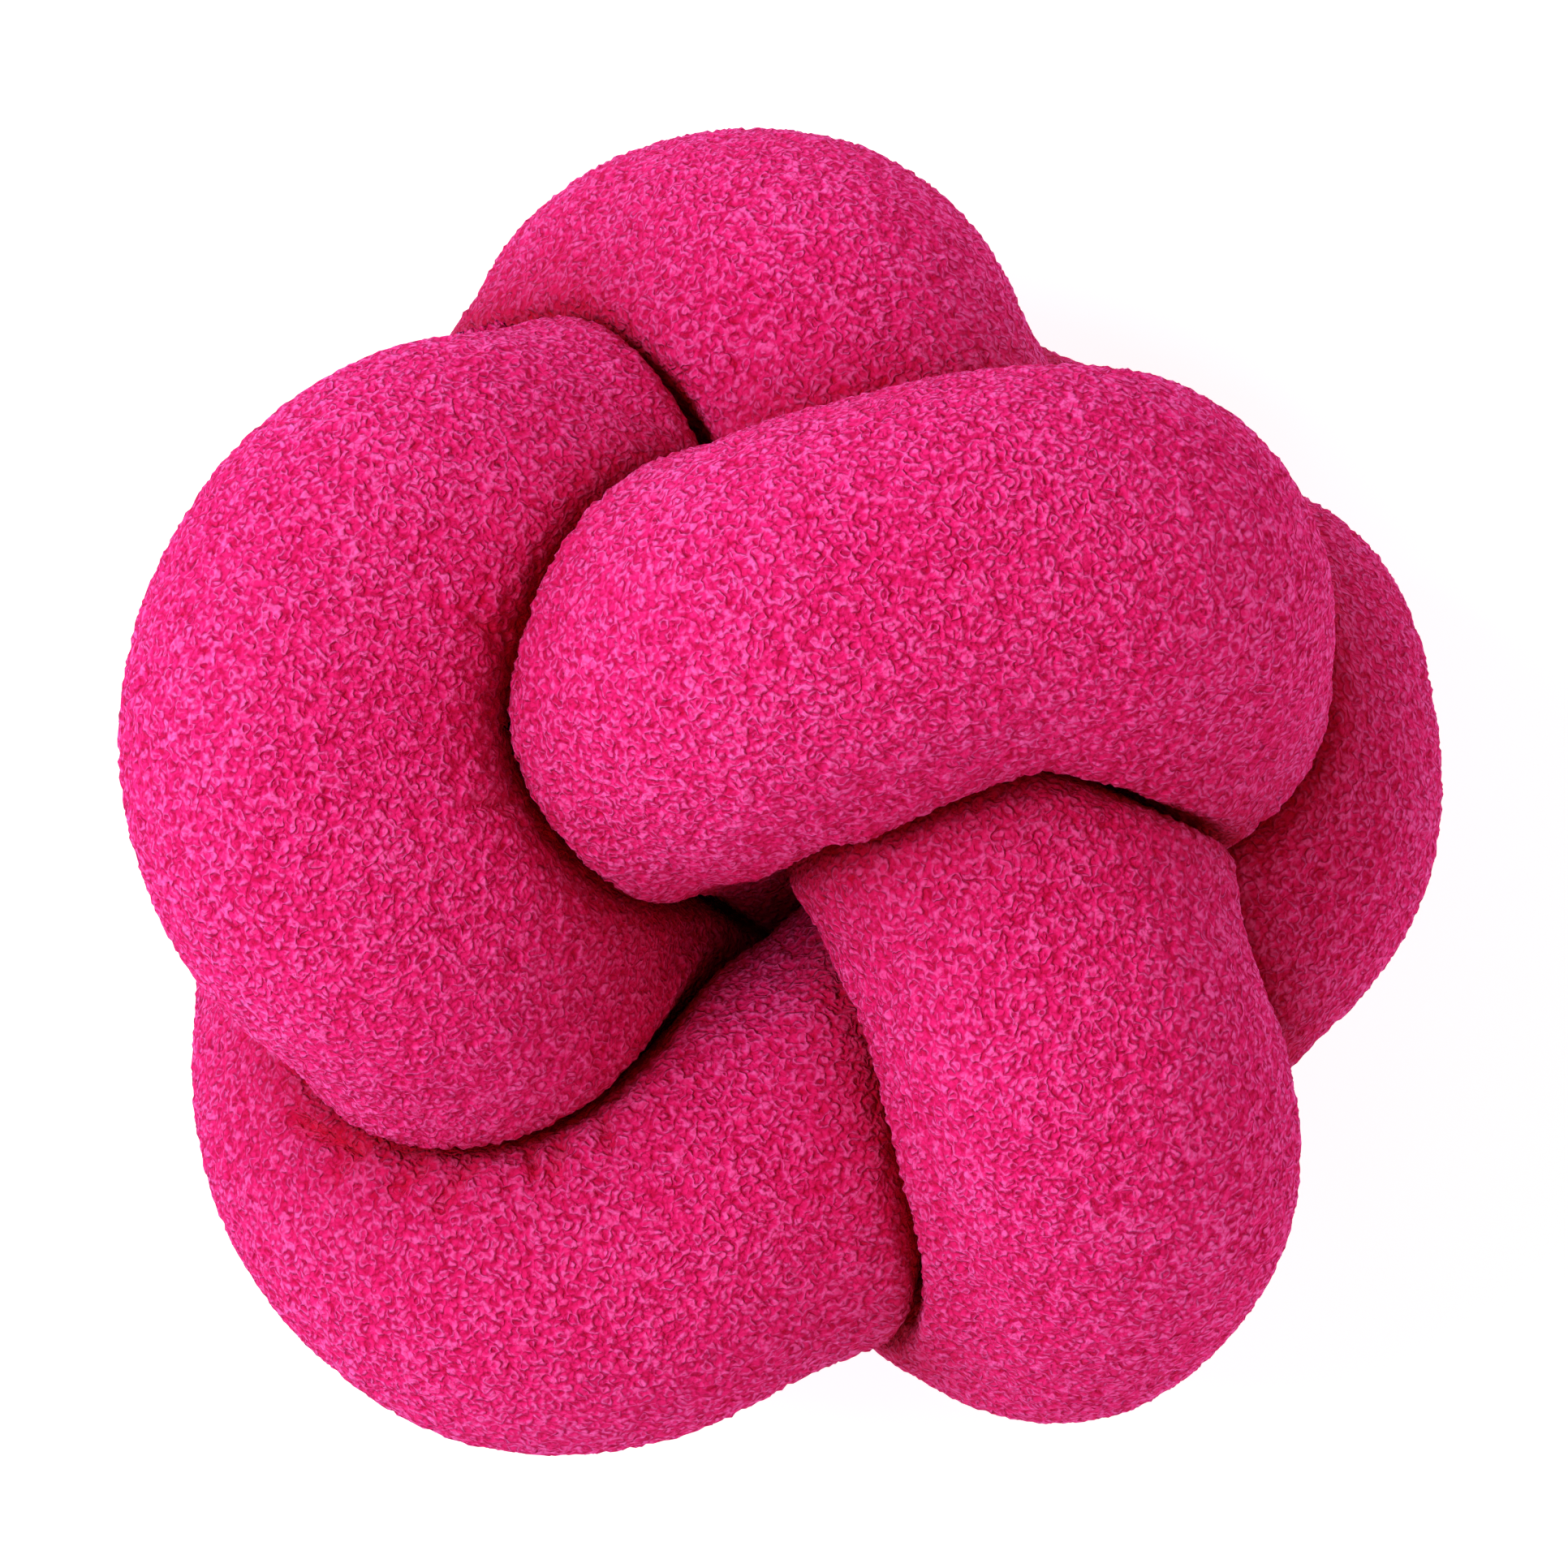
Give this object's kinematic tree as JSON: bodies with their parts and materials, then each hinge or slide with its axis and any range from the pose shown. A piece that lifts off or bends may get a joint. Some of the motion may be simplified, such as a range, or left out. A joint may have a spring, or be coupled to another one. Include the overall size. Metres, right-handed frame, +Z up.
{
  "type": "knot cushion",
  "caption": "Fat stuffed tube of curly pile cloth, closed end to end and knotted on itself into a rounded ball cushion with fat overlapping lobes.",
  "frame": {"origin": "middle of the footprint, on the surface the cushion lies on", "axes": "+Z up out of the face that the picture shows, +X to the picture's right, +Y to the picture's top"},
  "size_m": [0.3392, 0.3416, 0.277],
  "materials": {
    "curly_pile_cloth": "matt curly pile, hot pink"
  },
  "bodies": {
    "root": {"knotted_tube": "curly_pile_cloth"}
  },
  "joints": []
}
